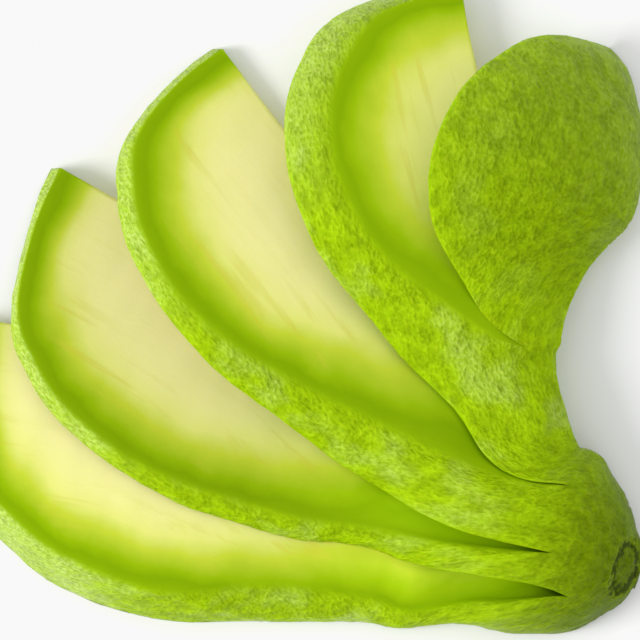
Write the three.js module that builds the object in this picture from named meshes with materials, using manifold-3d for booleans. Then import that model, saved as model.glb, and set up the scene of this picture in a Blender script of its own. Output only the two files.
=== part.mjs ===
import * as THREE from 'three';
import { mergeVertices } from 'three/addons/utils/BufferGeometryUtils.js';
import Module from 'manifold-3d';

// A peeled avocado half, cut lengthwise into five slices that stay joined at the stem end,
// then pressed over so that they fan out and lie on one another.
// Millimetres, +Z up, resting on z = 0 with the middle of its outline over the origin.
//
// The half is described first as it stood before it was pressed: u runs across it to the
// right, v up from its flat side, and w along it from the stem end to the base. Each slice
// then turns (heading), topples to the left (lean) about a line on the board (pivot) and is
// carried there along its own bent spine.

// The uncut half
const halfLength = 111;
const domeHeightRatio = 1.15;
const stemHeading = 159;

// Half width of the flat side at shares of the length from the stem end
const pearOutline = [
  [0, 0], [0.004, 2], [0.03, 7.2], [0.1, 13.6], [0.2, 15.8], [0.33, 18], [0.47, 24.6],
  [0.6, 30.6], [0.72, 31.8], [0.83, 28.2], [0.89, 23.6], [0.95, 11.6], [0.98, 6.6], [1, 0]
];

// The knife cuts from right to left: u at the stem end and at the belly, and the distance
// from the stem end at which each one starts
const cuts = [
  { neck: 17.8, belly: 21.6, root: 42.8 },
  { neck: 9.2, belly: 16.4, root: 15.5 },
  { neck: -1.7, belly: 13.7, root: 13.5 },
  { neck: -7.3, belly: 10.9, root: 8.5 }
];
const cutSettlesAt = 0.75;
const cutGap = 0.3;
const neckOverlap = 0.4;

// The slices from right to left. Headings are degrees from +X in plan, leans are degrees
// from upright, and each is reached at turnTo or leanTo along the slice. The pivot is the
// line that stays on the board. footSpread and edgeSpread are how far the underside reaches
// past the cut at the board and at the outer edge, and shave is how much the peeled surface
// loses along the cut's upper edge, up to shaveUntil.
const slices = [
  {
    follows: 1, heading: 73.7, turnTo: 81.6, lean: 52.5, leanTo: 60, tipTurn: 2,
    pivotNeck: 17.8, pivotBelly: 21.6, footSpread: 1.5, edgeSpread: 0.3,
    shave: 0, shaveUntil: 111
  },
  {
    follows: 2, heading: 110, turnTo: 33, lean: 66.5, leanTo: 56.1, tipTurn: -12,
    pivotNeck: 9.2, pivotBelly: 16.4, footSpread: 4.5, edgeSpread: 0.6,
    shave: 0.6, shaveUntil: 90
  },
  {
    heading: 133.2, turnTo: 33, lean: 64, leanTo: 46.6, tipTurn: -8,
    pivotNeck: 1.3, pivotBelly: 13.7, footSpread: 4.5, edgeSpread: 0.6,
    shave: 1, shaveUntil: 60
  },
  {
    follows: 2, heading: 152.1, turnTo: 49.1, lean: 77.5, leanTo: 56.7, tipTurn: -2,
    pivotNeck: -7.3, pivotBelly: 10.1, footSpread: 4.5, edgeSpread: 0.6,
    shave: 1, shaveUntil: 60
  },
  {
    follows: 3, heading: 165, turnTo: 43.2, lean: 78.7, leanTo: 33.8, tipTurn: 7.8,
    pivotNeck: -10.2, pivotBelly: 8, footSpread: 40, edgeSpread: 40,
    shave: 3.2, shaveUntil: 50
  }
];
const trunk = 2;
const trunkTurnsFrom = 5;
const trunkLeansFrom = 5.2;
const tipTurnFrom = 0.5;
const spreadGrowth = 25;
const tipTaper = 18;

// The half's right flank keeps its flat side near the board, beyond the pivot
const flankLean = 12;
const flankDropsFrom = 5;
const flankDropsBy = 105;
const flankRisesBy = 60;

// How the shaved strip along a cut comes and goes, and its width over its depth
const shaveGrowth = 12;
const shaveFade = 20;
const shaveReach = 2.2;

// Mesh fineness
const spineStep = 0.25;
const ringCount = 50;
const domeSpans = 10;
const faceSpans = 3;
const startWidth = 0.25;
const endWidth = 0.6;

const radians = THREE.MathUtils.degToRad;
const ramp = (x, from, to) => THREE.MathUtils.smoothstep(x, from, to);
const mix = THREE.MathUtils.lerp;

// Smooth curve through the outline's points, which overshoots none of its slopes
function outlineSlopes(points) {
  const steps = points.slice(1).map((p, i) => (p[1] - points[i][1]) / (p[0] - points[i][0]));
  return points.map((p, i) => {
    if (i === 0) return steps[0];
    if (i === points.length - 1) return steps[i - 1];
    const before = steps[i - 1];
    const after = steps[i];
    const spanBefore = p[0] - points[i - 1][0];
    const spanAfter = points[i + 1][0] - p[0];
    const slope = (before * spanAfter + after * spanBefore) / (spanBefore + spanAfter);
    if (before * after <= 0) return slope;
    const limit = 3 * Math.min(Math.abs(before), Math.abs(after));
    return THREE.MathUtils.clamp(slope, -limit, limit);
  });
}
const pearPoints = pearOutline.map(([share, radius]) => [share * halfLength, radius]);
const pearSlopes = outlineSlopes(pearPoints);

function halfWidth(w) {
  const at = THREE.MathUtils.clamp(w, 0, halfLength);
  let i = 0;
  while (i < pearPoints.length - 2 && pearPoints[i + 1][0] < at) i += 1;
  const [x0, y0] = pearPoints[i];
  const [x1, y1] = pearPoints[i + 1];
  const span = x1 - x0;
  const t = (at - x0) / span;
  return y0 * (1 + 2 * t) * (1 - t) ** 2 + y1 * t * t * (3 - 2 * t)
    + span * (pearSlopes[i] * t * (1 - t) ** 2 - pearSlopes[i + 1] * t * t * (1 - t));
}

const domeHeight = (u, w) => domeHeightRatio * Math.sqrt(Math.max(0, halfWidth(w) ** 2 - u * u));
const cutAt = (cut, w) => mix(cut.neck, cut.belly, ramp(w, 0, cutSettlesAt * halfLength));
const ownPivot = (slice, w) => mix(
  slice.pivotNeck, slice.pivotBelly, ramp(w, 0, cutSettlesAt * halfLength));

// Heading, lean and pivot of a slice at w: it shares those of the slice that it follows up
// to the root of the cut between them
function poseAt(index, w) {
  const slice = slices[index];
  if (index === trunk) {
    return {
      heading: mix(stemHeading, slice.heading, ramp(w, trunkTurnsFrom, slice.turnTo)),
      lean: slice.lean * ramp(w, trunkLeansFrom, slice.leanTo),
      pivot: ownPivot(slice, w)
    };
  }
  const base = poseAt(slice.follows, w);
  const root = cuts[Math.min(index, slice.follows)].root;
  const leaned = ramp(w, root, slice.leanTo);
  return {
    heading: mix(base.heading, slice.heading, ramp(w, root, slice.turnTo)),
    lean: mix(base.lean, slice.lean, leaned),
    pivot: mix(base.pivot, ownPivot(slice, w), leaned)
  };
}

// How far the flat side beyond the pivot has dropped back to the board
function flankDrop(index, w) {
  if (index > 1) return 0;
  const drop = ramp(w, flankDropsFrom, flankDropsBy);
  return index === 0 ? drop : drop * (1 - ramp(w, cuts[0].root, flankRisesBy));
}

// The slice's spine in plan, walked from the stem end in small steps
function walkSpine(index) {
  const spine = [];
  let x = 0;
  let y = 0;
  let turn = 0;
  let last = null;
  for (let w = 0; w <= halfLength + spineStep; w += spineStep) {
    const pose = poseAt(index, w);
    const tip = slices[index].tipTurn * ramp(w, tipTurnFrom * halfLength, halfLength);
    const heading = radians(pose.heading + tip);
    if (last !== null) {
      x += spineStep * (Math.cos(heading) + Math.cos(last)) / 2;
      y += spineStep * (Math.sin(heading) + Math.sin(last)) / 2;
      turn = (heading - last) / spineStep;
    }
    last = heading;
    const lean = radians(pose.lean);
    const flatLean = mix(lean, Math.min(lean, radians(flankLean)), flankDrop(index, w));
    spine.push({ x, y, heading, turn, lean, flatLean, pivot: pose.pivot });
  }
  return spine;
}
const spines = slices.map((slice, index) => walkSpine(index));

function stateAt(index, w) {
  const at = w / spineStep;
  const i = Math.min(Math.floor(at), spines[index].length - 2);
  const a = spines[index][i];
  const b = spines[index][i + 1];
  const state = {};
  for (const key of Object.keys(a)) state[key] = mix(a[key], b[key], at - i);
  return state;
}

// A point of the uncut half, carried to where its slice lies now. The flesh on the inside of
// a bend is squeezed, and never reaches the bend's centre.
function place(state, u, v) {
  const out = u - state.pivot;
  const raised = out > 0 ? Math.min(1, Math.atan2(v, out) / (Math.PI / 2)) : 1;
  const lean = mix(state.flatLean, state.lean, raised);
  let across = state.pivot + out * Math.cos(lean) - v * Math.sin(lean);
  const tightness = -across * state.turn;
  if (tightness > 0) across /= (1 + tightness ** 6) ** (1 / 6);
  return new THREE.Vector3(
    state.x + across * Math.sin(state.heading),
    state.y - across * Math.cos(state.heading),
    out * Math.sin(lean) + v * Math.cos(lean)
  );
}

// Where a slice starts and ends: its part of the half has some width there
function sliceSpan(index) {
  const hasWidth = (w) => {
    const radius = halfWidth(w);
    const right = cuts[index - 1] ? cutAt(cuts[index - 1], w) + neckOverlap : radius;
    const left = cuts[index] ? cutAt(cuts[index], w) - neckOverlap : -radius;
    return Math.min(right, radius) - Math.max(left, -radius) > startWidth;
  };
  let start = 0.4;
  while (!hasWidth(start)) start += 0.1;
  let end = halfLength;
  const low = cuts[index] ? cutAt(cuts[index], halfLength) : slices[index].pivotBelly;
  while (halfWidth(end) < low + endWidth) end -= 0.1;
  return [start, end];
}
const spans = slices.map((slice, index) => sliceSpan(index));

// The corners of a slice's section at w, in u and v
function sectionAt(index, w) {
  const slice = slices[index];
  const state = stateAt(index, w);
  const radius = halfWidth(w);
  const rightCut = cuts[index - 1];
  const leftCut = cuts[index];
  let right = radius;
  if (rightCut) {
    const freed = w < rightCut.root ? neckOverlap : -cutGap / 2;
    right = Math.min(radius, cutAt(rightCut, w) + freed);
  }
  // The board shaves off what would sink below it
  const board = (u) => Math.max(0, (state.pivot - u) * Math.tan(state.lean));
  const leftRoot = leftCut ? leftCut.root : 0;
  const spread = ramp(w, leftRoot, leftRoot + spreadGrowth)
    * (1 - ramp(w, spans[index][1] - tipTaper, spans[index][1]));
  let foot = -radius;
  let edge = -radius;
  if (leftCut) {
    const freed = w < leftRoot ? -neckOverlap : cutGap / 2;
    foot = cutAt(leftCut, w) + freed - slice.footSpread * spread;
    edge = cutAt(leftCut, w) + freed - slice.edgeSpread * spread;
  }
  foot = Math.max(foot, -radius);
  edge = Math.max(edge, -radius);
  let shave = 0;
  if (rightCut) {
    shave = slice.shave * ramp(w, rightCut.root, rightCut.root + shaveGrowth)
      * (1 - ramp(w, slice.shaveUntil, slice.shaveUntil + shaveFade));
  }
  const dome = (u) => {
    const near = Math.max(0, 1 - (right - u) / (shaveReach * Math.max(shave, 1e-6)));
    return domeHeight(u, w) - shave * near * near;
  };
  if (dome(edge) < board(edge)) {
    let low = edge;
    let high = right;
    for (let i = 0; i < 40; i += 1) {
      const middle = (low + high) / 2;
      if (dome(middle) < board(middle)) low = middle;
      else high = middle;
    }
    edge = high;
  }
  if (board(foot) > dome(edge) || !leftCut) foot = edge;
  const heel = THREE.MathUtils.clamp(state.pivot, foot, right);
  return { state, radius, right, edge, foot, heel, board, dome };
}

// One closed ring of points round the section
function ringAt(index, w) {
  const { state, radius, right, edge, foot, heel, board, dome } = sectionAt(index, w);
  const ring = [];
  const add = (u, v) => ring.push(place(state, u, v));
  const line = (from, to, spans) => {
    for (let i = 0; i < spans; i += 1) {
      add(mix(from[0], to[0], i / spans), mix(from[1], to[1], i / spans));
    }
  };
  const top = (u) => Math.max(dome(u), board(u));
  line([right, board(right)], [right, top(right)], faceSpans);
  const start = Math.asin(THREE.MathUtils.clamp(right / radius, -1, 1));
  const end = Math.asin(THREE.MathUtils.clamp(edge / radius, -1, 1));
  for (let i = 0; i < domeSpans; i += 1) {
    const u = radius * Math.sin(mix(start, end, i / domeSpans));
    add(u, top(u));
  }
  line([edge, top(edge)], [foot, board(foot)], faceSpans);
  line([foot, board(foot)], [heel, board(heel)], 1);
  line([heel, board(heel)], [right, board(right)], 1);
  return ring;
}

// Stations along the slice: close together at the stem end, the cut roots and the tip
function stationsOf(index) {
  const [start, end] = spans[index];
  const roots = [cuts[index - 1], cuts[index]].filter(Boolean).map((cut) => cut.root);
  const stations = [];
  for (let i = 0; i <= ringCount; i += 1) {
    const t = i / ringCount;
    stations.push(mix(start, end, (1 - Math.cos(t * Math.PI)) / 2));
  }
  const clear = stations.filter((w) => roots.every((root) => Math.abs(w - root) > 0.7));
  for (const root of roots) clear.push(root - 0.01, root + 0.6);
  return clear.sort((a, b) => a - b);
}

function closedGeometry(rings) {
  const positions = [];
  const indices = [];
  const count = rings[0].length;
  for (const ring of rings) for (const p of ring) positions.push(p.x, p.y, p.z);
  for (let r = 0; r < rings.length - 1; r += 1) {
    for (let i = 0; i < count; i += 1) {
      const a = r * count + i;
      const b = r * count + (i + 1) % count;
      indices.push(a, b + count, b, a, a + count, b + count);
    }
  }
  // Each end is closed by a fan round the middle of its ring
  for (const end of [0, rings.length - 1]) {
    const middle = rings[end].reduce((sum, p) => sum.add(p), new THREE.Vector3())
      .divideScalar(count);
    const hub = positions.length / 3;
    positions.push(middle.x, middle.y, middle.z);
    for (let i = 0; i < count; i += 1) {
      const a = end * count + i;
      const b = end * count + (i + 1) % count;
      if (end === 0) indices.push(hub, a, b);
      else indices.push(hub, b, a);
    }
  }
  const geometry = new THREE.BufferGeometry();
  geometry.setAttribute('position', new THREE.Float32BufferAttribute(positions, 3));
  geometry.setIndex(indices);
  return geometry;
}

// three.js geometry to a solid and back
const wasm = await Module();
wasm.setup();

// Merges points closer than the tolerance and drops the triangles that this flattens
function welded(geometry, tolerance) {
  const merged = mergeVertices(geometry, tolerance);
  const index = merged.index.array;
  const kept = [];
  for (let i = 0; i < index.length; i += 3) {
    const [a, b, c] = [index[i], index[i + 1], index[i + 2]];
    if (a !== b && b !== c && c !== a) kept.push(a, b, c);
  }
  merged.setIndex(kept);
  return merged;
}

function toSolid(geometry) {
  const merged = welded(geometry, 1e-4);
  return new wasm.Manifold(new wasm.Mesh({
    numProp: 3,
    vertProperties: new Float32Array(merged.attributes.position.array),
    triVerts: new Uint32Array(merged.index.array)
  }));
}

function toGeometry(solid) {
  const mesh = solid.getMesh();
  const geometry = new THREE.BufferGeometry();
  geometry.setAttribute('position', new THREE.BufferAttribute(mesh.vertProperties, 3));
  geometry.setIndex(new THREE.BufferAttribute(mesh.triVerts, 1));
  return geometry;
}

function buildFan() {
  const sliceRings = slices.map(
    (slice, index) => stationsOf(index).map((w) => ringAt(index, w)));
  const box = new THREE.Box3().setFromPoints(sliceRings.flat(2));
  const origin = box.getCenter(new THREE.Vector3()).setZ(box.min.z);
  for (const point of sliceRings.flat(2)) point.sub(origin);
  const solids = sliceRings.map((rings) => toSolid(closedGeometry(rings)));
  const joined = solids.reduce((sum, solid) => sum.add(solid));
  // Only the outer skin is kept, so hollows sealed between touching slices are filled
  return joined.decompose().reduce((best, piece) => (piece.volume() > best.volume() ? piece : best));
}

const fanGeometry = toGeometry(buildFan());

const flesh = new THREE.MeshStandardMaterial({ color: 0x93b41f, roughness: 0.45, metalness: 0 });
const fan = new THREE.Mesh(fanGeometry, flesh);
fan.name = 'avocado_fan';

const avocado = new THREE.Group();
avocado.add(fan);

export default avocado;
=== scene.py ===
"""A peeled avocado half, cut into slices that stay joined at the stem end and lie in a fan."""
import math
from collections import namedtuple

import bpy
from bpy.props import FloatProperty, FloatVectorProperty, PointerProperty
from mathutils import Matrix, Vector, noise


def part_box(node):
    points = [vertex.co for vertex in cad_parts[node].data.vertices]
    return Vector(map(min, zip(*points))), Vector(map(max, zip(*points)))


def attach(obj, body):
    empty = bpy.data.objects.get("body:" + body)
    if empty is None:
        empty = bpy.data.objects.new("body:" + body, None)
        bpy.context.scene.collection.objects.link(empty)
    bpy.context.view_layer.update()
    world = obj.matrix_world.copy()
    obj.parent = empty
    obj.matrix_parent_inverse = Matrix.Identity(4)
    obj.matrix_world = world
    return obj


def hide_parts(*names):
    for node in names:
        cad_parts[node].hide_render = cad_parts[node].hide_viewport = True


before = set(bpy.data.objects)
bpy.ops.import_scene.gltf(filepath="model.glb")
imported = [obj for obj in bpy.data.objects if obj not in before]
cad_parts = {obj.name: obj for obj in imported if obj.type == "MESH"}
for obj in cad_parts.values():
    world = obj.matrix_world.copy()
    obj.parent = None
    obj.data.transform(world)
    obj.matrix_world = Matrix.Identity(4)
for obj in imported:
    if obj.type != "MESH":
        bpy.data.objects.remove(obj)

bl_info = {
    "name": "Fanned avocado half",
    "version": (1, 0, 0),
    "blender": (4, 5, 0),
    "location": "View3D > Sidebar > Avocado",
    "description": "Models a peeled avocado half whose slices are pressed over into a fan",
    "category": "Add Mesh",
}

FAN_NODE = "avocado_fan"
MM = 0.001

# The uncut half, in millimetres: u runs across it to the right, v up from its flat side,
# and w along it from the stem end to the base
HALF_LENGTH = 111.0
DOME_HEIGHT_RATIO = 1.15
STEM_HEADING = 159.0

# Half width of the flat side at shares of the length from the stem end
PEAR_OUTLINE = (
    (0.0, 0.0), (0.004, 2.0), (0.03, 7.2), (0.1, 13.6), (0.2, 15.8), (0.33, 18.0), (0.47, 24.6),
    (0.6, 30.6), (0.72, 31.8), (0.83, 28.2), (0.89, 23.6), (0.95, 11.6), (0.98, 6.6), (1.0, 0.0),
)

# The knife cuts from right to left: u at the stem end and at the belly, and the distance
# from the stem end at which each one starts
Cut = namedtuple("Cut", "neck belly root")
CUTS = (
    Cut(neck=17.8, belly=21.6, root=42.8),
    Cut(neck=9.2, belly=16.4, root=15.5),
    Cut(neck=-1.7, belly=13.7, root=13.5),
    Cut(neck=-7.3, belly=10.9, root=8.5),
)
CUT_SETTLES_AT = 0.75

# The slices from right to left. Headings are degrees from +X in plan and leans are degrees
# from upright, reached at turn_to and lean_to along the slice. The spreads are how far the
# underside reaches past the pivot at the board and at the outer edge.
Slice = namedtuple(
    "Slice",
    "follows heading turn_to lean lean_to tip_turn pivot_neck pivot_belly foot_spread "
    "edge_spread shave shave_until dome_spans",
)
SLICES = (
    Slice(1, 73.7, 81.6, 52.5, 60.0, 2.0, 17.8, 21.6, 1.5, 0.3, 0.0, 111.0, 56),
    Slice(2, 110.0, 33.0, 66.5, 56.1, -12.0, 9.2, 16.4, 4.5, 0.6, 0.6, 90.0, 22),
    Slice(None, 133.2, 33.0, 64.0, 46.6, -8.0, 1.3, 13.7, 4.5, 0.6, 1.0, 60.0, 14),
    Slice(2, 152.1, 49.1, 77.5, 56.7, -2.0, -7.3, 10.1, 4.5, 0.6, 1.0, 60.0, 14),
    Slice(3, 165.0, 43.2, 78.7, 33.8, 7.8, -10.2, 8.0, 40.0, 40.0, 3.2, 50.0, 20),
)
TRUNK = 2
TRUNK_TURNS_FROM = 5.0
TRUNK_LEANS_FROM = 5.2
TIP_TURN_FROM = 0.5
SPREAD_GROWTH = 25.0
TIP_TAPER = 18.0
SPINE_STEP = 0.25

# The half's right flank keeps its flat side near the board, beyond the pivot
FLANK_LEAN = 12.0
FLANK_DROPS_FROM = 5.0
FLANK_DROPS_BY = 105.0
FLANK_RISES_BY = 60.0

# How much peeled surface is shaved off along a cut's upper edge, and how far it reaches
SHAVE_GROWTH = 12.0
SHAVE_FADE = 20.0
SHAVE_REACH = 2.2

# Fineness of the skin
SKIN_STEP = 0.75
WALKING_STEP = 0.02
STATION_CLEARANCE = 0.15
FACE_SPANS = 44
UNDERSIDE_FACE_SPANS = 12
ROUND_SPANS = 4
FOOT_SPANS = 3
FLAT_SPANS = 4
NEARLY = 1e-9
TINY = 1e-6

# How the searches for a station and for a slice's edge begin, and how often they are halved
WIDE_BY = 60.0
NARROWS_FROM = 0.8
STATION_HALVINGS = 50
EDGE_HALVINGS = 40

# How far round a station its slope is read, and how sharply flesh inside a bend is squeezed
SLOPE_REACH = 0.2
SQUEEZE_POWER = 6

# How far past a cut's root its slit has opened and its edges have softened, and the most of
# a face's height and of the dome's arc that a softened edge may take
SLIT_OPENS_OVER = 3.0
EDGE_SOFTENS_OVER = 6.0
SOFT_SHARE_OF_HEIGHT = 0.4
SOFT_SHARE_OF_ARC = 0.3

# The cut faces of the slices past the trunk swell up against the slice above them. The four
# distances past the cut's root are where the swelling begins, is full, fades and ends.
SWELLS = (0.0, 7.0, 16.0, 44.0)
SWELLS_FULLY_BELOW = 5.0
LAST_FACE_SWELLS_BY = 1.4

# The inside of the neck's bend is eased, and filled round a point this far past the stem end.
# The four distances along the half are where each begins, is full, fades and ends.
BEND_EASED = (11.0, 16.0, 34.0, 46.0)
BEND_EASED_ACROSS = (2.0, 8.0)
BEND_FACTOR = 0.5
BEND_REPEATS = 24
BEND_FILLED = (7.0, 14.0, 46.0, 54.0)
BEND_FILLED_ACROSS = (0.0, 14.0)
BEND_CENTRE = 24.0
BEND_SPAN = 6.0
BEND_FILL = 1.7

# How dense the dimples, their fine grain and the knife's ripples are, across the half, up it
# and along it, and where each noise is read, so that no two are alike
DIMPLE_DENSITY = Vector((0.42, 0.42, 0.3))
GRAIN_DENSITY = Vector((1.1, 1.1, 0.8))
GRAIN_OFFSET = Vector((7.0, 3.0, 1.0))
RIPPLE_DENSITY = Vector((0.12, 0.12, 0.3))
RIPPLE_OFFSET = Vector((0.0, 9.0, 4.0))
PATCH_DENSITY = Vector((0.16, 0.16, 0.1))
PATCH_OFFSET = Vector((5.0, 2.0, 8.0))
DIMPLE_SHARE = 0.7
GRAIN_SHARE = 0.4
FRACTAL_DIMENSION = 0.9
FRACTAL_LACUNARITY = 2.1
FRACTAL_OCTAVES = 3

# The stem scar, on the shoulder of the stem end: a raised ring round a rough hollow
SCAR_CENTRE = Vector((0.3, 6.9, 2.4))
SCAR_RADIUS = 5.0
SCAR_NOISE_DENSITY = 0.9
SCAR_NOISE_OFFSET = Vector((3.0, 0.0, 5.0))
SCAR_RING_HEIGHT = 0.18
SCAR_RING_WIDTH = 0.5
SCAR_RING_WANDER = 0.3
SCAR_HOLLOW_DEPTH = 0.35
SCAR_HOLLOW_FROM = 1.6
SCAR_HOLLOW_TO = 0.2

# Painted shade and light: how light the flesh is painted at the stem end and on the half's
# right flank, which face away from the light, and, from right to left, on each slice's cut
# face, to make up for the shade that the slices cast on one another
STEM_PAINTED_SHADE = 0.4
STEM_PAINTED_SHADE_ALONG = (1.0, 24.0)
FLANK_PAINTED_SHADE = 0.76
FLANK_PAINTED_SHADE_ACROSS = (18.0, 27.0)
FLANK_PAINTED_SHADE_ALONG = (35.0, 70.0)
FACE_PAINTED_LIGHT_AND_SHADE = (1.0, 1.12, 1.04, 0.82, 0.93)
FACE_PAINTED_LIGHT_AND_SHADE_ALONG = (30.0, 60.0)

# How moist the peeled surface is in patches and towards the tips, and less so on the half's right
# flank: it is glossier there and takes a painted pale sheen
PATCH_SHEEN = 0.55
PATCHES_FULL_AT = 0.6
PATCHES_ALONG = (12.0, 35.0)
TIP_SHEEN = 0.85
TIPS_ALONG = (68.0, 96.0)
FLANK_SHEEN_DROP = 0.8
FLANK_SHEEN_DROP_ACROSS = (18.0, 22.0)

# How deep below the peel a cut face reaches its palest heart, at the neck and at the belly
HEART_DEPTH_AT_NECK = 34.0
HEART_DEPTH_AT_BELLY = 14.0
HEART_DEPTH_ALONG = (10.0, 66.0)

# In metres: points this close are merged, shorter edges are dissolved, and skin lower than
# this lies on the board and takes no relief in height
MERGED_WITHIN = 2e-6
SHORTEST_EDGE = 1e-6
ON_THE_BOARD = 0.0002


class AvocadoFanSizes(bpy.types.PropertyGroup):
    """Sizes of the cut and peeled surface"""

    cut_gap: FloatProperty(
        name="Cut gap",
        description="Width of the slits between the slices",
        default=0.0003,
        subtype="DISTANCE",
        unit="LENGTH",
    )
    edge_round: FloatProperty(
        name="Edge rounding",
        description="Softness of the edge between a cut face and the peeled surface",
        default=0.0008,
        subtype="DISTANCE",
        unit="LENGTH",
    )
    settling: FloatProperty(
        name="Settling",
        description="How far a cut face swells up against the slice above it near the stem end",
        default=0.003,
        subtype="DISTANCE",
        unit="LENGTH",
    )
    peel_relief: FloatProperty(
        name="Peel relief",
        description="Depth of the dimples that the peel leaves",
        default=0.00022,
        subtype="DISTANCE",
        unit="LENGTH",
    )
    cut_relief: FloatProperty(
        name="Cut relief",
        description="Depth of the ripples that the knife leaves",
        default=0.00008,
        subtype="DISTANCE",
        unit="LENGTH",
    )


class AvocadoFanColours(bpy.types.PropertyGroup):
    """Colours of the flesh, in linear RGB"""

    peeled: FloatVectorProperty(
        name="Peeled surface",
        description="Green of the flesh that lay under the peel",
        default=(0.29, 0.46, 0.002),
        subtype="COLOR",
        size=3,
    )
    flecks: FloatVectorProperty(
        name="Flecks",
        description="Pale fibres on the peeled surface",
        default=(0.37, 0.53, 0.006),
        subtype="COLOR",
        size=3,
    )
    spots: FloatVectorProperty(
        name="Spots",
        description="Deep green spots on the peeled surface",
        default=(0.235, 0.385, 0.001),
        subtype="COLOR",
        size=3,
    )
    rim: FloatVectorProperty(
        name="Rim",
        description="Deep green of a cut face just inside the peeled surface",
        default=(0.22, 0.375, 0.001),
        subtype="COLOR",
        size=3,
    )
    belt: FloatVectorProperty(
        name="Belt",
        description="Yellow green of a cut face between its rim and its heart",
        default=(0.53, 0.63, 0.04),
        subtype="COLOR",
        size=3,
    )
    heart: FloatVectorProperty(
        name="Heart",
        description="Pale yellow of a cut face far inside",
        default=(0.82, 0.8, 0.3),
        subtype="COLOR",
        size=3,
    )


def ramp(x, low, high):
    """A smooth rise from 0 at low to 1 at high"""
    t = min(1.0, max(0.0, (x - low) / (high - low)))
    return t * t * (3.0 - 2.0 * t)


def mix(a, b, t):
    return a + (b - a) * t


def between(x, begins, full, fades, ends):
    """A smooth rise from 0 to 1, and further on back to 0"""
    return ramp(x, begins, full) * (1.0 - ramp(x, fades, ends))


def outline_slopes(points):
    """Slopes of a smooth curve through the points that never overshoots them"""
    steps = [(b[1] - a[1]) / (b[0] - a[0]) for a, b in zip(points, points[1:])]
    slopes = [steps[0]]
    for i in range(1, len(points) - 1):
        before, after = steps[i - 1], steps[i]
        span_before = points[i][0] - points[i - 1][0]
        span_after = points[i + 1][0] - points[i][0]
        slope = (before * span_after + after * span_before) / (span_before + span_after)
        if before * after > 0.0:
            limit = 3.0 * min(abs(before), abs(after))
            slope = min(limit, max(-limit, slope))
        slopes.append(slope)
    slopes.append(steps[-1])
    return slopes


PEAR_POINTS = [(share * HALF_LENGTH, radius) for share, radius in PEAR_OUTLINE]
PEAR_SLOPES = outline_slopes(PEAR_POINTS)


def half_width(w):
    """Half the width of the uncut half's flat side, on a smooth curve through its outline"""
    at = min(HALF_LENGTH, max(0.0, w))
    i = 0
    while i < len(PEAR_POINTS) - 2 and PEAR_POINTS[i + 1][0] < at:
        i += 1
    x0, y0 = PEAR_POINTS[i]
    x1, y1 = PEAR_POINTS[i + 1]
    span = x1 - x0
    t = (at - x0) / span
    ends = y0 * (1 + 2 * t) * (1 - t) ** 2 + y1 * t * t * (3 - 2 * t)
    return ends + span * (PEAR_SLOPES[i] * t * (1 - t) ** 2 - PEAR_SLOPES[i + 1] * t * t * (1 - t))


def depth_below_peel(u, v, w):
    """How far inside the peeled surface a point of the uncut half lies"""
    radius = half_width(w)
    slope = (half_width(w + SLOPE_REACH) - half_width(w - SLOPE_REACH)) / (2 * SLOPE_REACH)
    inside = radius - math.hypot(u, v / DOME_HEIGHT_RATIO)
    return max(0.0, inside) / math.sqrt(1.0 + slope * slope)


def settled(neck, belly, w):
    """A place across the half that moves from one at the neck to another at the belly"""
    return mix(neck, belly, ramp(w, 0.0, CUT_SETTLES_AT * HALF_LENGTH))


def cut_at(cut, w):
    return settled(cut.neck, cut.belly, w)


def pose_at(index, w):
    """Heading, lean and pivot of a slice, which it shares with its neighbour up to the cut"""
    part = SLICES[index]
    own_pivot = settled(part.pivot_neck, part.pivot_belly, w)
    if index == TRUNK:
        heading = mix(STEM_HEADING, part.heading, ramp(w, TRUNK_TURNS_FROM, part.turn_to))
        return heading, part.lean * ramp(w, TRUNK_LEANS_FROM, part.lean_to), own_pivot
    heading, lean, pivot = pose_at(part.follows, w)
    root = CUTS[min(index, part.follows)].root
    leaned = ramp(w, root, part.lean_to)
    heading = mix(heading, part.heading, ramp(w, root, part.turn_to))
    return heading, mix(lean, part.lean, leaned), mix(pivot, own_pivot, leaned)


def flank_drop(index, w):
    """How far the flat side beyond the pivot has dropped back to the board"""
    if index > 1:
        return 0.0
    drop = ramp(w, FLANK_DROPS_FROM, FLANK_DROPS_BY)
    return drop if index == 0 else drop * (1.0 - ramp(w, CUTS[0].root, FLANK_RISES_BY))


State = namedtuple("State", "x y heading turn lean flat_lean pivot")


def walk_spine(index):
    """The slice's bent spine in plan, walked from the stem end in small steps"""
    spine = []
    x = y = turn = 0.0
    last = None
    for i in range(int(HALF_LENGTH / SPINE_STEP) + 2):
        w = i * SPINE_STEP
        heading, lean, pivot = pose_at(index, w)
        tip = SLICES[index].tip_turn * ramp(w, TIP_TURN_FROM * HALF_LENGTH, HALF_LENGTH)
        heading = math.radians(heading + tip)
        if last is not None:
            x += SPINE_STEP * (math.cos(heading) + math.cos(last)) / 2
            y += SPINE_STEP * (math.sin(heading) + math.sin(last)) / 2
            turn = (heading - last) / SPINE_STEP
        last = heading
        flat_lean = mix(lean, min(lean, FLANK_LEAN), flank_drop(index, w))
        spine.append(State(
            x, y, heading, turn, math.radians(lean), math.radians(flat_lean), pivot
        ))
    return spine


SPINES = [walk_spine(index) for index in range(len(SLICES))]


def state_at(index, w):
    at = w / SPINE_STEP
    i = min(int(at), len(SPINES[index]) - 2)
    return State(*(mix(a, b, at - i) for a, b in zip(SPINES[index][i], SPINES[index][i + 1])))


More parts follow.
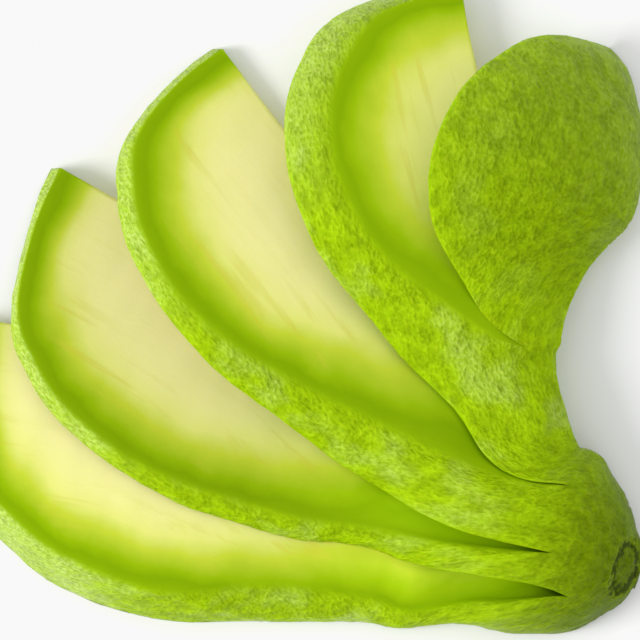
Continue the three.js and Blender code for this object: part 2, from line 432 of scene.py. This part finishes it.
def place(state, u, v):
    """A point of the uncut half, carried to where its slice lies now"""
    out = u - state.pivot
    raised = min(1.0, math.atan2(v, out) / (math.pi / 2)) if out > 0.0 else 1.0
    lean = mix(state.flat_lean, state.lean, raised)
    across = state.pivot + out * math.cos(lean) - v * math.sin(lean)
    # The flesh on the inside of a bend is squeezed, and never reaches the bend's centre
    tightness = -across * state.turn
    if tightness > 0.0:
        across /= (1.0 + tightness ** SQUEEZE_POWER) ** (1 / SQUEEZE_POWER)
    return Vector((
        state.x + across * math.sin(state.heading),
        state.y - across * math.cos(state.heading),
        out * math.sin(lean) + v * math.cos(lean),
    ))


def spaced_stations(start, end, marks):
    """Distances along the half, evenly spaced over its peeled surface, and the marks"""
    stations = [start]
    travelled = 0.0
    w = start
    while w < end:
        rise = half_width(w + WALKING_STEP) - half_width(w)
        travelled += math.hypot(WALKING_STEP, rise)
        w += WALKING_STEP
        if travelled >= SKIN_STEP:
            stations.append(w)
            travelled = 0.0
    marks = sorted(set(marks) | {start, end})
    kept = [w for w in stations if all(abs(w - mark) > STATION_CLEARANCE for mark in marks)]
    return sorted(kept + [mark for mark in marks if start <= mark <= end])


def crossing(low, high, inside, halvings=STATION_HALVINGS):
    """Where a test turns from false at low to true at high"""
    for _ in range(halvings):
        middle = (low + high) / 2
        if inside(middle):
            high = middle
        else:
            low = middle
    return high


def slice_start(index):
    """Where the half has grown wide enough for the slice to show beside its neighbour"""
    if index <= TRUNK:
        return crossing(0.0, WIDE_BY, lambda w: half_width(w) > cut_at(CUTS[index], w))
    if index == len(CUTS):
        return crossing(0.0, WIDE_BY, lambda w: half_width(w) > -cut_at(CUTS[-1], w))
    return 0.0


def narrows_to(u):
    """Where the half narrows to u towards its base"""
    return crossing(HALF_LENGTH, NARROWS_FROM * HALF_LENGTH, lambda w: half_width(w) > u)


def slice_end(index):
    return narrows_to(CUTS[index].belly if index < len(CUTS) else SLICES[index].pivot_belly)


SLICE_STARTS = [slice_start(index) for index in range(len(SLICES))]
SLICE_ENDS = [slice_end(index) for index in range(len(SLICES))]
LAST_ROOT = max(cut.root for cut in CUTS)
SHARED_STATIONS = spaced_stations(0.0, LAST_ROOT, [cut.root for cut in CUTS] + SLICE_STARTS)


def stations_of(index):
    """The slice's stations, which it shares with its neighbours up to the last cut's root"""
    shared = [w for w in SHARED_STATIONS if w >= SLICE_STARTS[index] - NEARLY]
    marks = [LAST_ROOT, SLICE_ENDS[index]]
    if index > 0:
        marks.append(narrows_to(CUTS[index - 1].belly))
    return shared + spaced_stations(LAST_ROOT, SLICE_ENDS[index], marks)[1:]


Sample = namedtuple("Sample", "u v w peeled")


def softened(begin, corner, end, w):
    """Points round an edge from a cut face to the peeled surface, without the first"""
    row = []
    for i in range(1, ROUND_SPANS + 1):
        t = i / ROUND_SPANS
        a, b, c = (1 - t) ** 2, 2 * t * (1 - t), t * t
        u = a * begin[0] + b * corner[0] + c * end[0]
        v = a * begin[1] + b * corner[1] + c * end[1]
        row.append(Sample(u, v, w, ramp(t, 0.0, 1.0)))
    return row


class SliceSection:
    """A slice's outline across the half, at one distance along it"""

    def __init__(self, index, w, sizes):
        part = SLICES[index]
        self.index = index
        self.w = w
        self.sizes = sizes
        self.state = state_at(index, w)
        self.slant = math.tan(self.state.lean)
        self.radius = half_width(w)
        self.arc = max(self.radius, TINY)
        self.right = self.radius
        self.shave = 0.0
        if index > 0:
            cut = CUTS[index - 1]
            self.right = min(self.radius, cut_at(cut, w) - self.half_gap(cut))
            fade = ramp(w, part.shave_until, part.shave_until + SHAVE_FADE)
            self.shave = part.shave * ramp(w, cut.root, cut.root + SHAVE_GROWTH) * (1.0 - fade)
        self.foot = self.edge = -self.radius
        if index < len(CUTS):
            cut = CUTS[index]
            end = SLICE_ENDS[index]
            spread = ramp(w, cut.root, cut.root + SPREAD_GROWTH)
            spread *= 1.0 - ramp(w, end - TIP_TAPER, end)
            left = cut_at(cut, w) + self.half_gap(cut)
            self.foot = max(-self.radius, left - part.foot_spread * spread)
            self.edge = max(-self.radius, left - part.edge_spread * spread)
        self.edge = min(self.edge, self.right)
        if self.dome(self.edge) < self.board(self.edge):
            self.edge = crossing(
                self.edge, self.right, lambda u: self.dome(u) >= self.board(u), EDGE_HALVINGS
            )
        stands_clear = self.board(self.foot) <= self.dome(self.edge) and self.foot <= self.edge
        if index == len(CUTS) or not stands_clear:
            self.foot = self.edge
        self.heel = min(self.right, max(self.foot, self.state.pivot))
        self.soften_edges()

    def half_gap(self, cut):
        gap = self.sizes.cut_gap / MM / 2
        return gap * ramp(self.w, cut.root, cut.root + SLIT_OPENS_OVER)

    def board(self, u):
        """How high the board cuts through the slice, which leans on its pivot"""
        return max(0.0, (self.state.pivot - u) * self.slant)

    def dome(self, u):
        """The peeled surface, shaved off a little beside the cut on the right"""
        near = max(0.0, 1.0 - (self.right - u) / (SHAVE_REACH * max(self.shave, TINY)))
        height = DOME_HEIGHT_RATIO * math.sqrt(max(0.0, self.radius ** 2 - u * u))
        return height - self.shave * near * near

    def top(self, u):
        return max(self.dome(u), self.board(u))

    def angle(self, u):
        """Where u lies on the dome's arc, in radians from its top"""
        return math.asin(min(1.0, max(-1.0, u / self.arc)))

    def on_dome(self, angle):
        u = self.arc * math.sin(angle)
        return u, self.top(u)

    def rounding(self, cut_index):
        """How soft the edge beside a cut is: nothing up to the cut's root"""
        if not 0 <= cut_index < len(CUTS):
            return 0.0
        root = CUTS[cut_index].root
        return self.sizes.edge_round / MM * ramp(self.w, root, root + EDGE_SOFTENS_OVER)

    def soften_edges(self):
        """Set the softened edges beside the two cuts, and the dome between them"""
        right_corner = (self.right, self.top(self.right))
        left_corner = (self.edge, self.top(self.edge))
        right_height = right_corner[1] - self.board(self.right)
        self.left_height = math.dist(left_corner, (self.foot, self.board(self.foot)))
        self.right_soft = min(self.rounding(self.index - 1), SOFT_SHARE_OF_HEIGHT * right_height)
        self.left_soft = min(self.rounding(self.index), SOFT_SHARE_OF_HEIGHT * self.left_height)
        most = SOFT_SHARE_OF_ARC * (self.angle(self.right) - self.angle(self.edge))
        right_bend = min(self.right_soft / self.arc, most)
        left_bend = min(self.left_soft / self.arc, most)
        self.first_angle = self.angle(self.right) - right_bend
        self.last_angle = self.angle(self.edge) + left_bend
        self.dome_start = self.on_dome(self.first_angle) if right_bend > 0.0 else right_corner
        self.dome_end = self.on_dome(self.last_angle) if left_bend > 0.0 else left_corner

    def swelling(self):
        if self.index <= TRUNK:
            return 0.0
        most = self.sizes.settling / MM
        if self.index == len(CUTS):
            most *= LAST_FACE_SWELLS_BY
        return most * between(self.w - CUTS[self.index - 1].root, *SWELLS)

    def dome_row(self):
        """The peeled dome, from right to left"""
        spans = SLICES[self.index].dome_spans
        inner = [
            self.on_dome(mix(self.first_angle, self.last_angle, i / spans))
            for i in range(1, spans)
        ]
        return [Sample(u, v, self.w, 1.0) for u, v in (self.dome_start, *inner, self.dome_end)]

    def flat_row(self):
        """The flat side, from the underside's outer end to the right"""
        across = [mix(self.foot, self.heel, i / FOOT_SPANS) for i in range(FOOT_SPANS)]
        across += [mix(self.heel, self.right, i / FLAT_SPANS) for i in range(FLAT_SPANS + 1)]
        return [Sample(u, self.board(u), self.w, 0.0) for u in across]

    def right_face_row(self):
        """The cut face on the right, up to the dome round its softened edge"""
        low = self.board(self.right)
        high = self.top(self.right) - self.right_soft
        row = []
        for i in range(FACE_SPANS + 1):
            v = mix(low, high, i / FACE_SPANS)
            swell = self.swelling() * ramp(high - v, 0.0, SWELLS_FULLY_BELOW)
            row.append(Sample(self.right + swell, v, self.w, 0.0))
        corner = (self.right, self.top(self.right))
        return row + softened((self.right, high), corner, self.dome_start, self.w)

    def left_face_row(self):
        """The underside cut face on the left, from the dome down to the foot"""
        corner = (self.edge, self.top(self.edge))
        foot = (self.foot, self.board(self.foot))
        t = self.left_soft / self.left_height if self.left_height > TINY else 0.0
        face_top = (mix(corner[0], foot[0], t), mix(corner[1], foot[1], t))
        row = [Sample(*self.dome_end, self.w, 1.0)]
        for sample in softened(self.dome_end, corner, face_top, self.w):
            row.append(sample._replace(peeled=1.0 - sample.peeled))
        for i in range(1, UNDERSIDE_FACE_SPANS + 1):
            t = i / UNDERSIDE_FACE_SPANS
            u, v = mix(face_top[0], foot[0], t), mix(face_top[1], foot[1], t)
            row.append(Sample(u, v, self.w, 0.0))
        return row


class FanSkin:
    """The fan's skin as grids of points that share their borders"""

    def __init__(self):
        self.points = []
        self.samples = []
        self.owners = []
        self.faces = []

    def add_grid(self, sections, rows):
        first = len(self.points)
        count = len(rows[0])
        for section, row in zip(sections, rows):
            for sample in row:
                self.points.append(place(section.state, sample.u, sample.v))
                self.samples.append(sample)
                self.owners.append(section.index)
        for r in range(len(rows) - 1):
            for c in range(count - 1):
                a = first + r * count + c
                self.faces.append((a, a + count, a + count + 1, a + 1))

    def add_slice(self, index, sizes):
        sections = [SliceSection(index, w, sizes) for w in stations_of(index)]
        self.add_grid(sections, [section.dome_row() for section in sections])
        self.add_grid(sections, [section.flat_row() for section in sections])
        if index > 0:
            parted = [s for s in sections if s.w >= CUTS[index - 1].root - NEARLY]
            self.add_grid(parted, [section.right_face_row() for section in parted])
        if index < len(CUTS):
            parted = [s for s in sections if s.w >= CUTS[index].root - NEARLY]
            self.add_grid(parted, [section.left_face_row() for section in parted])


def select_only(piece):
    bpy.ops.object.select_all(action="DESELECT")
    piece.select_set(True)
    bpy.context.view_layer.objects.active = piece


def fractal(at):
    return noise.fractal(at, FRACTAL_DIMENSION, FRACTAL_LACUNARITY, FRACTAL_OCTAVES)


def relief(sample, sizes):
    """How far the surface stands out from its smooth shape, in millimetres"""
    at = Vector((sample.u, sample.v, sample.w))
    dimples = DIMPLE_SHARE * fractal(at * DIMPLE_DENSITY)
    grain = GRAIN_SHARE * noise.noise(at * GRAIN_DENSITY + GRAIN_OFFSET)
    peel = sizes.peel_relief / MM * (dimples + grain)
    cut = sizes.cut_relief / MM * noise.noise(at * RIPPLE_DENSITY + RIPPLE_OFFSET)
    height = mix(cut, peel, sample.peeled)
    away = (at - SCAR_CENTRE).length
    rough = noise.noise(at * SCAR_NOISE_DENSITY + SCAR_NOISE_OFFSET)
    off = (away - SCAR_RADIUS - SCAR_RING_WANDER * rough) / SCAR_RING_WIDTH
    hollow = 1.0 - ramp(away, SCAR_RADIUS - SCAR_HOLLOW_FROM, SCAR_RADIUS - SCAR_HOLLOW_TO)
    hollow *= SCAR_HOLLOW_DEPTH * (1.0 + rough)
    return height + SCAR_RING_HEIGHT * math.exp(-off ** 2) - hollow


def painted_flesh_shade(sample, index):
    """Painted shade and light: darker at the stem end and on the half's right flank, which face
    away from the light, and each cut face painted lighter or darker for the shade the slices cast
    """
    stem = mix(STEM_PAINTED_SHADE, 1.0, ramp(sample.w, *STEM_PAINTED_SHADE_ALONG))
    flank = ramp(sample.u, *FLANK_PAINTED_SHADE_ACROSS) * ramp(sample.w, *FLANK_PAINTED_SHADE_ALONG)
    peeled = mix(1.0, FLANK_PAINTED_SHADE, flank)
    # Each slice's cut face is painted lighter or darker to make up for the shade the slices cast
    # on one another
    face = mix(1.0, FACE_PAINTED_LIGHT_AND_SHADE[index], ramp(sample.w, *FACE_PAINTED_LIGHT_AND_SHADE_ALONG))
    return stem * mix(face, peeled, sample.peeled)


def moisture_and_sheen(sample):
    """How moist the peeled surface is, which makes it glossier and paints a pale sheen on it:
    towards the tips, and in patches further down
    """
    at = Vector((sample.u, sample.v, sample.w)) * PATCH_DENSITY
    patches = PATCH_SHEEN * ramp(fractal(at + PATCH_OFFSET), 0.0, PATCHES_FULL_AT)
    tips = TIP_SHEEN * ramp(sample.w, *TIPS_ALONG)
    flank = 1.0 - FLANK_SHEEN_DROP * ramp(sample.u, *FLANK_SHEEN_DROP_ACROSS)
    return sample.peeled * flank * min(1.0, tips + patches * ramp(sample.w, *PATCHES_ALONG))


def build_fan_mesh(sizes):
    """Join the slices' grids into one closed skin, where the CAD solid lies"""
    skin = FanSkin()
    for index in range(len(SLICES)):
        skin.add_slice(index, sizes)
    low = Vector(min(p[i] for p in skin.points) for i in range(3))
    high = Vector(max(p[i] for p in skin.points) for i in range(3))
    box_low, box_high = (Vector(corner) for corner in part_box(FAN_NODE))
    shift = (box_low + box_high) / 2 / MM - (low + high) / 2
    shift.z = box_low.z / MM - low.z
    mesh = bpy.data.meshes.new("fanned_slices")
    mesh.from_pydata([(p + shift) * MM for p in skin.points], [], skin.faces)
    rest = mesh.attributes.new("rest", "FLOAT_VECTOR", "POINT")
    rest.data.foreach_set("vector", [x for s in skin.samples for x in (s.u, s.v, s.w)])
    peeled = mesh.attributes.new("peeled", "FLOAT", "POINT")
    peeled.data.foreach_set("value", [s.peeled for s in skin.samples])
    owner = mesh.attributes.new("owner", "FLOAT", "POINT")
    owner.data.foreach_set("value", [float(index) for index in skin.owners])
    piece = bpy.data.objects.new("fanned_slices", mesh)
    bpy.context.collection.objects.link(piece)
    select_only(piece)
    bpy.ops.object.mode_set(mode="EDIT")
    bpy.ops.mesh.select_all(action="SELECT")
    bpy.ops.mesh.remove_doubles(threshold=MERGED_WITHIN)
    bpy.ops.mesh.dissolve_degenerate(threshold=SHORTEST_EDGE)
    bpy.ops.mesh.select_all(action="SELECT")
    bpy.ops.mesh.normals_make_consistent(inside=False)
    bpy.ops.object.mode_set(mode="OBJECT")
    bpy.ops.object.shade_smooth()
    return piece, shift


def ease_the_bend(piece, stem_y):
    """Ease the fold on the inside of the neck's bend, and fill the bend a little"""
    bpy.ops.object.mode_set(mode="EDIT")
    bpy.ops.mesh.select_mode(type="VERT")
    bpy.ops.mesh.select_all(action="DESELECT")
    bpy.ops.object.mode_set(mode="OBJECT")
    rest = [Vector(item.vector) for item in piece.data.attributes["rest"].data]
    vertices = piece.data.vertices
    for vertex, at in zip(vertices, rest):
        along = BEND_EASED[0] < at.z < BEND_EASED[-1]
        vertex.select = along and at.x > BEND_EASED_ACROSS[0]
    before = [vertex.co.copy() for vertex in vertices]
    bpy.ops.object.mode_set(mode="EDIT")
    bpy.ops.mesh.vertices_smooth(factor=BEND_FACTOR, repeat=BEND_REPEATS, zaxis=False)
    bpy.ops.object.mode_set(mode="OBJECT")
    for vertex, at, old in zip(piece.data.vertices, rest, before):
        u, w = at.x, at.z
        eased = old.lerp(vertex.co, between(w, *BEND_EASED) * ramp(u, *BEND_EASED_ACROSS))
        off = (eased.y / MM - stem_y - BEND_CENTRE) / BEND_SPAN
        filled = ramp(u, *BEND_FILLED_ACROSS) * between(w, *BEND_FILLED)
        fill = BEND_FILL * math.exp(-off * off) * filled
        vertex.co = eased + Vector((fill * MM, 0.0, 0.0))


def raise_relief(piece, sizes):
    """Raise the relief, and keep each point's depth, painted shade and moisture with its painted
    sheen for the material
    """
    mesh = piece.data
    for name in ("depth", "shade", "moist_sheen"):
        mesh.attributes.new(name, "FLOAT", "POINT")
    rest = mesh.attributes["rest"].data
    owner = mesh.attributes["owner"].data
    peeled = mesh.attributes["peeled"].data
    depth = mesh.attributes["depth"].data
    shade = mesh.attributes["shade"].data
    moist_sheen = mesh.attributes["moist_sheen"].data
    normals = [vertex.normal.copy() for vertex in mesh.vertices]
    low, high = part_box(FAN_NODE)
    for i, vertex in enumerate(mesh.vertices):
        u, v, w = rest[i].vector
        belly = ramp(w, *HEART_DEPTH_ALONG)
        heart = mix(HEART_DEPTH_AT_NECK, HEART_DEPTH_AT_BELLY, belly)
        sample = Sample(u, v, w, peeled[i].value)
        depth[i].value = depth_below_peel(u, v, w) / heart
        shade[i].value = painted_flesh_shade(sample, round(owner[i].value))
        moist_sheen[i].value = moisture_and_sheen(sample)
        moved = vertex.co + normals[i] * relief(sample, sizes) * MM
        if vertex.co.z < ON_THE_BOARD:
            moved.z = vertex.co.z
        vertex.co = [min(b, max(a, x)) for a, x, b in zip(low, moved, high)]
    mesh.update()


class AVOCADO_OT_fan(bpy.types.Operator):
    """Model the fanned slices and give them their flesh"""

    bl_idname = "avocado.fan"
    bl_label = "Fanned slices"

    def execute(self, context):
        sizes = context.scene.avocado_sizes
        piece, shift = build_fan_mesh(sizes)
        ease_the_bend(piece, shift.y)
        raise_relief(piece, sizes)
        piece.data.materials.append(flesh_material(context.scene.avocado_colours))
        context.scene["stem_end"] = list(shift)
        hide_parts(FAN_NODE)
        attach(piece, "root")
        return {"FINISHED"}


def new_node(tree, kind, location, inputs=None, **values):
    """A node whose inputs are given as plain values or as the outputs that feed them"""
    made = tree.nodes.new(kind)
    made.location = location
    for name, value in values.items():
        setattr(made, name, value)
    for name, value in (inputs or {}).items():
        if isinstance(value, bpy.types.NodeSocket):
            tree.links.new(value, made.inputs[name])
        else:
            made.inputs[name].default_value = value
    return made


def attribute(tree, location, name, output="Fac"):
    return new_node(tree, "ShaderNodeAttribute", location, attribute_name=name).outputs[output]


def calculated(tree, location, operation, *numbers):
    inputs = dict(enumerate(numbers))
    return new_node(tree, "ShaderNodeMath", location, inputs, operation=operation).outputs[0]


def mapped(tree, location, value, source, target, kind="LINEAR"):
    inputs = {
        "Value": value,
        "From Min": source[0],
        "From Max": source[1],
        "To Min": target[0],
        "To Max": target[1],
    }
    made = new_node(tree, "ShaderNodeMapRange", location, inputs, interpolation_type=kind)
    return made.outputs["Result"]


def blended(tree, location, share, first, second):
    inputs = {"Factor": share, "A": first, "B": second}
    made = new_node(tree, "ShaderNodeMix", location, inputs, data_type="RGBA")
    return made.outputs["Result"]


def scaled_colour(tree, location, colour, by):
    inputs = {0: colour, "Scale": by}
    made = new_node(tree, "ShaderNodeVectorMath", location, inputs, operation="SCALE")
    return made.outputs["Vector"]


def stretched(tree, location, at, scale):
    inputs = {"Vector": at, "Scale": scale}
    return new_node(tree, "ShaderNodeMapping", location, inputs).outputs["Vector"]


def mottling(tree, location, at, scale, detail, roughness=0.5):
    inputs = {"Vector": at, "Scale": scale, "Detail": detail, "Roughness": roughness}
    return new_node(tree, "ShaderNodeTexNoise", location, inputs).outputs["Fac"]


def graded(tree, location, share, stops):
    """A colour or a grey for each share, between the given stops"""
    made = new_node(tree, "ShaderNodeValToRGB", location, {"Fac": share})
    elements = made.color_ramp.elements
    while len(elements) < len(stops):
        elements.new(0.5)
    for element, (position, tone) in zip(elements, stops):
        element.position = position
        element.color = (tone, tone, tone, 1.0) if isinstance(tone, float) else (*tone, 1.0)
    return made.outputs["Color"]


def cut_face_colour(tree, rest, depth, colours):
    """Deep green rim, yellow-green belt and pale heart, with faint ochre streaks between"""
    wobble = mottling(tree, (-1100, -100), rest, 0.14, 3.0)
    shifted = calculated(tree, (-900, -200), "MULTIPLY_ADD", wobble, 0.16, depth)
    share = calculated(tree, (-700, -200), "ADD", shifted, -0.08)
    belt = graded(tree, (-500, -200), share, (
        (0.0, (0.25, 0.41, 0.002)),
        (0.12, tuple(colours.rim)),
        (0.2, (0.3, 0.47, 0.003)),
        (0.36, tuple(colours.belt)),
        (0.5, (0.74, 0.76, 0.2)),
        (0.66, tuple(colours.heart)),
        # The palest stop, far inside, is partly the heart's own colour and partly painted light
        # that keeps each face's far side bright where the slice above shades it
        (1.0, (0.93, 0.85, 0.42)),
    ))
    grain = stretched(tree, (-1100, 800), rest, (0.6, 0.6, 0.05))
    fibres = mottling(tree, (-900, 800), grain, 1.0, 3.0)
    strands = mapped(tree, (-700, 800), fibres, (0.54, 0.7), (0.0, 0.45), "SMOOTHSTEP")
    zone = graded(tree, (-700, 1050), share, ((0.2, 0.0), (0.36, 1.0), (0.5, 0.8), (0.75, 0.15)))
    ochre = calculated(tree, (-400, 900), "MULTIPLY", strands, zone)
    return blended(tree, (-250, 200), ochre, belt, (0.6, 0.56, 0.05, 1.0))


def peeled_colour(tree, flecks, mottle, colours):
    """Green with deep spots and pale flecks, mottled more broadly"""
    tones = graded(tree, (-600, -500), flecks, (
        (0.34, tuple(colours.spots)),
        (0.46, tuple(colours.peeled)),
        (0.53, tuple(colours.peeled)),
        (0.68, tuple(colours.flecks)),
    ))
    lightness = mapped(tree, (-600, -1100), mottle, (0.35, 0.65), (0.82, 1.12))
    return scaled_colour(tree, (-300, -500), tones, lightness)


def scar_tone_and_shade(tree, rest):
    """How light the flesh is round the stem scar: a crease darkened with painted shade round an
    olive middle
    """
    inputs = {0: rest, 1: SCAR_CENTRE}
    away = new_node(tree, "ShaderNodeVectorMath", (-1100, 500), inputs, operation="DISTANCE")
    rough = mottling(tree, (-1100, 300), rest, 0.8, 3.0)
    reach = calculated(tree, (-900, 400), "MULTIPLY_ADD", rough, 5.0, away.outputs["Value"])
    share = mapped(tree, (-700, 400), reach, (2.3, 12.3), (0.0, 1.0))
    stops = ((0.0, 0.8), (0.26, 0.7), (0.34, 0.25), (0.41, 0.3), (0.49, 1.0), (0.58, 0.8))
    return graded(tree, (-500, 400), share, stops)


def flesh_material(colours):
    material = bpy.data.materials.new("avocado_flesh")
    material.use_nodes = True
    tree = material.node_tree
    tree.nodes.clear()
    rest = attribute(tree, (-1400, 0), "rest", "Vector")
    depth = attribute(tree, (-1400, -300), "depth")
    peeled = attribute(tree, (-1400, -600), "peeled")
    shade = attribute(tree, (-1400, 200), "shade")
    moist_sheen = attribute(tree, (-1400, -900), "moist_sheen")
    along = stretched(tree, (-1100, -500), rest, (1.0, 1.0, 0.6))
    flecks = mottling(tree, (-900, -500), along, 2.2, 3.0, 0.7)
    mottle = mottling(tree, (-900, -1100), along, 0.55, 2.0, 0.6)
    cut_face = cut_face_colour(tree, rest, depth, colours)
    skin = peeled_colour(tree, flecks, mottle, colours)
    base = blended(tree, (-100, 0), peeled, cut_face, skin)

    # Moist patches are glossier and take a painted pale sheen, broken up by fine streaks
    streaks = mapped(tree, (-600, -800), flecks, (0.4, 0.66), (0.2, 0.75), "SMOOTHSTEP")
    wet_sheen = calculated(tree, (-400, -800), "MULTIPLY", streaks, moist_sheen)
    with_painted_sheen = blended(tree, (50, 0), wet_sheen, base, (0.49, 0.64, 0.12, 1.0))

    # The flesh darkens round the scar's olive middle, with painted shade towards the stem end, on
    # the right flank and in the scar's crease, and painted light and shade on the cut faces
    dark = calculated(tree, (-100, 300), "MULTIPLY", scar_tone_and_shade(tree, rest), shade)
    lift = calculated(tree, (50, 300), "MULTIPLY", dark, 1.25)
    shaded = scaled_colour(tree, (250, 100), with_painted_sheen, lift)

    # Finely dimpled where it was peeled, nearly smooth where it was cut
    heights = calculated(tree, (100, -300), "MULTIPLY_ADD", flecks, 0.35, mottle)
    bump = new_node(tree, "ShaderNodeBump", (350, -400), {
        "Strength": mapped(tree, (100, -500), peeled, (0.0, 1.0), (0.03, 0.9)),
        "Distance": 0.0011,
        "Height": heights,
    })
    shader = new_node(tree, "ShaderNodeBsdfPrincipled", (600, 0), {
        "Base Color": shaded,
        "Normal": bump.outputs["Normal"],
        "Roughness": 0.25,
        "Specular IOR Level": mapped(tree, (100, -800), wet_sheen, (0.0, 1.0), (0.02, 0.8)),
        "Subsurface Weight": 0.3,
        "Subsurface Radius": (0.8, 1.0, 0.2),
        "Subsurface Scale": 0.002,
    })
    new_node(tree, "ShaderNodeOutputMaterial", (900, 0), {"Surface": shader.outputs["BSDF"]})
    return material


# The photograph's view: its scale at the fan, the camera's height above the board in
# degrees, and the pixel at which the stem end stands
PHOTO_SIZE = 640
PIXELS_PER_MM = 6.74
CAMERA_DISTANCE = 0.506
CAMERA_ELEVATION = math.radians(83.4)
CAMERA_CLIP_START = 0.01
STEM_END_PIXEL = (636.0, 575.7)
SENSOR_WIDTH = 36.0

# The light, from the left, and how bright the photograph's white is
KEY_DIRECTION = Vector((-1.0, -0.25, 0.66))
KEY_DISTANCE = 1.0
KEY_SIZE = 0.5
KEY_POWER = 8.4
WORLD_STRENGTH = 1.0
PHOTO_WHITE = 0.945
BOARD_SIZE = 3.0


def aim(thing, at, direction, distance):
    thing.location = at + direction.normalized() * distance
    thing.rotation_euler = direction.to_track_quat("Z", "Y").to_euler()


def add_camera(stem_end):
    across = (PHOTO_SIZE / 2 - STEM_END_PIXEL[0]) / PIXELS_PER_MM * MM
    up = (STEM_END_PIXEL[1] - PHOTO_SIZE / 2) / PIXELS_PER_MM * MM
    target = stem_end + Vector((across, up / math.sin(CAMERA_ELEVATION), 0.0))
    data = bpy.data.cameras.new("camera")
    data.sensor_width = SENSOR_WIDTH
    data.lens = SENSOR_WIDTH * CAMERA_DISTANCE / (PHOTO_SIZE / PIXELS_PER_MM * MM)
    data.clip_start = CAMERA_CLIP_START
    camera = bpy.data.objects.new("camera", data)
    bpy.context.collection.objects.link(camera)
    tilt = Vector((0.0, -math.cos(CAMERA_ELEVATION), math.sin(CAMERA_ELEVATION)))
    aim(camera, target, tilt, CAMERA_DISTANCE)
    bpy.context.scene.camera = camera


def add_key_light():
    data = bpy.data.lights.new("key_light", "AREA")
    data.shape = "DISK"
    data.size = KEY_SIZE
    data.energy = KEY_POWER
    light = bpy.data.objects.new("key_light", data)
    bpy.context.collection.objects.link(light)
    aim(light, Vector((0.0, 0.0, 0.0)), KEY_DIRECTION, KEY_DISTANCE)


def add_world(scene):
    """Plain white light from all round, which makes no reflections"""
    world = bpy.data.worlds.new("studio")
    world.use_nodes = True
    background = world.node_tree.nodes["Background"]
    background.inputs["Color"].default_value = (1.0, 1.0, 1.0, 1.0)
    background.inputs["Strength"].default_value = WORLD_STRENGTH
    world.cycles_visibility.glossy = False
    scene.world = world


def set_view(scene):
    """Keep white as bright as in the photograph, and never brighter"""
    scene.view_settings.view_transform = "Standard"
    scene.view_settings.use_curve_mapping = True
    mapping = scene.view_settings.curve_mapping
    combined = mapping.curves[3]
    combined.points[1].location = (1.0, PHOTO_WHITE)
    mapping.extend = "HORIZONTAL"
    mapping.update()


def board_material():
    material = bpy.data.materials.new("board")
    material.use_nodes = True
    shader = material.node_tree.nodes["Principled BSDF"]
    shader.inputs["Base Color"].default_value = (0.8, 0.8, 0.8, 1.0)
    shader.inputs["Roughness"].default_value = 0.8
    shader.inputs["Specular IOR Level"].default_value = 0.0
    return material


class AVOCADO_OT_stage(bpy.types.Operator):
    """Lay the pale board and set up the light and the camera"""

    bl_idname = "avocado.stage"
    bl_label = "Board, light and camera"

    def execute(self, context):
        scene = context.scene
        bpy.ops.object.select_all(action="DESELECT")
        bpy.ops.mesh.primitive_plane_add(size=BOARD_SIZE, location=(0.0, 0.0, 0.0))
        board = context.object
        board.name = "board"
        board.data.materials.append(board_material())
        add_camera(Vector(scene["stem_end"]) * MM)
        add_key_light()
        add_world(scene)
        set_view(scene)
        return {"FINISHED"}


class AVOCADO_PT_panel(bpy.types.Panel):
    """Lists the avocado's sizes, colours and steps"""

    bl_label = "Avocado"
    bl_idname = "AVOCADO_PT_panel"
    bl_space_type = "VIEW_3D"
    bl_region_type = "UI"
    bl_category = "Avocado"

    def draw(self, context):
        for group in (context.scene.avocado_sizes, context.scene.avocado_colours):
            for name in group.__annotations__:
                self.layout.prop(group, name)
        self.layout.operator(AVOCADO_OT_fan.bl_idname)
        self.layout.operator(AVOCADO_OT_stage.bl_idname)


CLASSES = (
    AvocadoFanSizes,
    AvocadoFanColours,
    AVOCADO_OT_fan,
    AVOCADO_OT_stage,
    AVOCADO_PT_panel,
)


def register():
    for made in CLASSES:
        bpy.utils.register_class(made)
    bpy.types.Scene.avocado_sizes = PointerProperty(type=AvocadoFanSizes)
    bpy.types.Scene.avocado_colours = PointerProperty(type=AvocadoFanColours)


def unregister():
    del bpy.types.Scene.avocado_colours
    del bpy.types.Scene.avocado_sizes
    for made in reversed(CLASSES):
        bpy.utils.unregister_class(made)


def main():
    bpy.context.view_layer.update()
    register()
    bpy.ops.avocado.fan()
    bpy.ops.avocado.stage()


if __name__ == "__main__":
    main()
